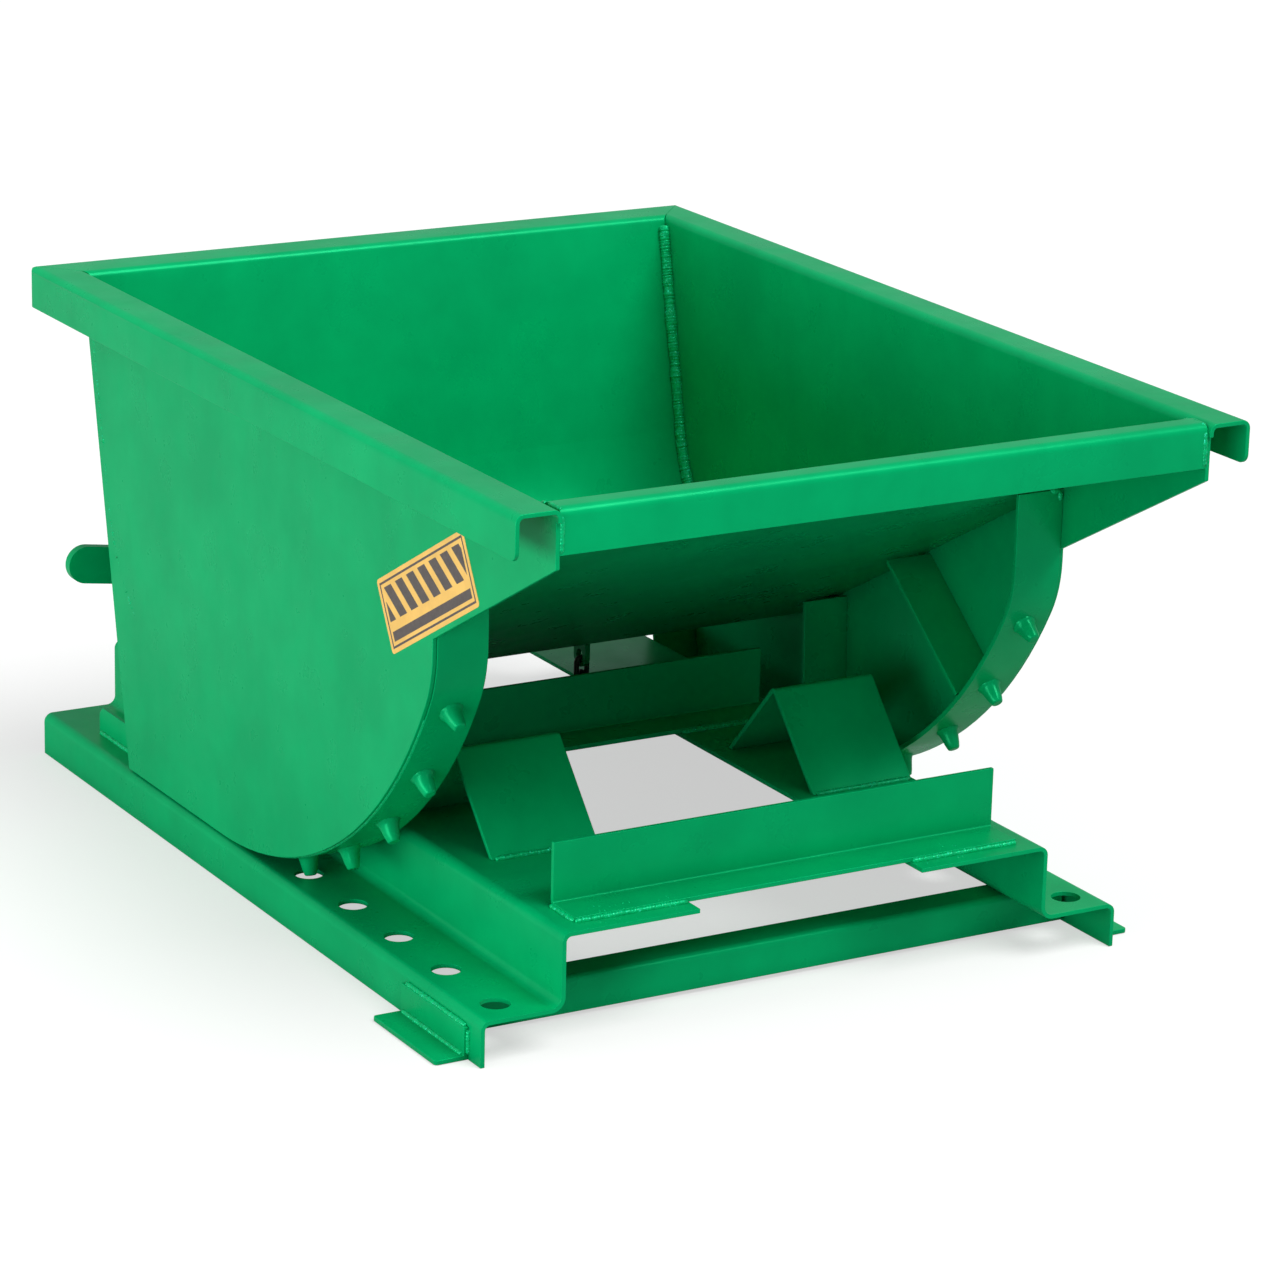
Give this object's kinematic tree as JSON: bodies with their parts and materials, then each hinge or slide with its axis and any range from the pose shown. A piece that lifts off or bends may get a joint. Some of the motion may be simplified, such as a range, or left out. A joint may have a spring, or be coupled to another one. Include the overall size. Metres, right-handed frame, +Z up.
{
  "type": "self-dumping hopper",
  "caption": "Small green self-dumping forklift hopper: a rimmed bucket that rolls forward on pegged rockers over a base with fork pockets.",
  "frame": {"origin": "centre of the bounding box's footprint, on the floor", "axes": "+Z up; +Y from the pour lip back to the latch end; +X across, so that X, Y, Z are right-handed"},
  "size_m": [0.818, 1.175, 0.585],
  "materials": {
    "green_paint": "gloss",
    "zinc_steel": "satin",
    "dark_steel": "satin",
    "label_film": "gloss"
  },
  "bodies": {
    "base": {"rail_left": "green_paint", "rail_right": "green_paint", "front_top_angle": "green_paint", "rear_top_angle": "green_paint", "front_lower_angle": "green_paint", "rear_lower_angle": "green_paint", "saddle_left": "green_paint", "saddle_right": "green_paint", "foot_plate_left": "green_paint", "foot_plate_right": "green_paint", "heel_guide_left": "green_paint", "heel_guide_right": "green_paint", "latch_keeper": "green_paint"},
    "roll_carrier": {"roll_carrier_key": "dark_steel"},
    "bucket": {"side_plate_left": "green_paint", "side_plate_right": "green_paint", "belly_sheet": "green_paint", "rear_wall": "green_paint", "rocker_left": "green_paint", "rocker_right": "green_paint", "rocker_pegs_left": "green_paint", "rocker_pegs_right": "green_paint", "front_brace_left": "green_paint", "front_brace_right": "green_paint", "middle_brace_left": "green_paint", "middle_brace_right": "green_paint", "latch_bracket": "green_paint", "lever_bolt": "zinc_steel", "lever_nut": "zinc_steel", "chain_eye": "green_paint", "side_label": "label_film"},
    "lever": {"release_lever": "green_paint", "latch_hook": "green_paint"},
    "chain": {"chain_links": "dark_steel"}
  },
  "joints": [
    {"name": "roll_travel", "type": "slide", "parent": "base", "child": "roll_carrier", "axis": [0, -1, 0], "range_m": [0, 0.54454]},
    {"name": "roll_turn", "type": "hinge", "parent": "roll_carrier", "child": "bucket", "pos_m": [0, 0.1245, 0.5675], "axis": [1, 0, 0], "range_deg": [0, 60]},
    {"name": "lever_swing", "type": "hinge", "parent": "bucket", "child": "lever", "pos_m": [-0.06, 0.4735, 0.211], "axis": [0, 1, 0], "range_deg": [-8, 12]},
    {"name": "chain_hang", "type": "hinge", "parent": "bucket", "child": "chain", "pos_m": [0.104, 0.1875, 0.165], "axis": [1, 0, 0], "range_deg": [-60, 0]}
  ],
  "couplings": [
    {"joint": "roll_travel", "follows": "roll_turn", "m_per_rad": 0.52},
    {"joint": "chain_hang", "follows": "roll_turn", "ratio": -1}
  ]
}
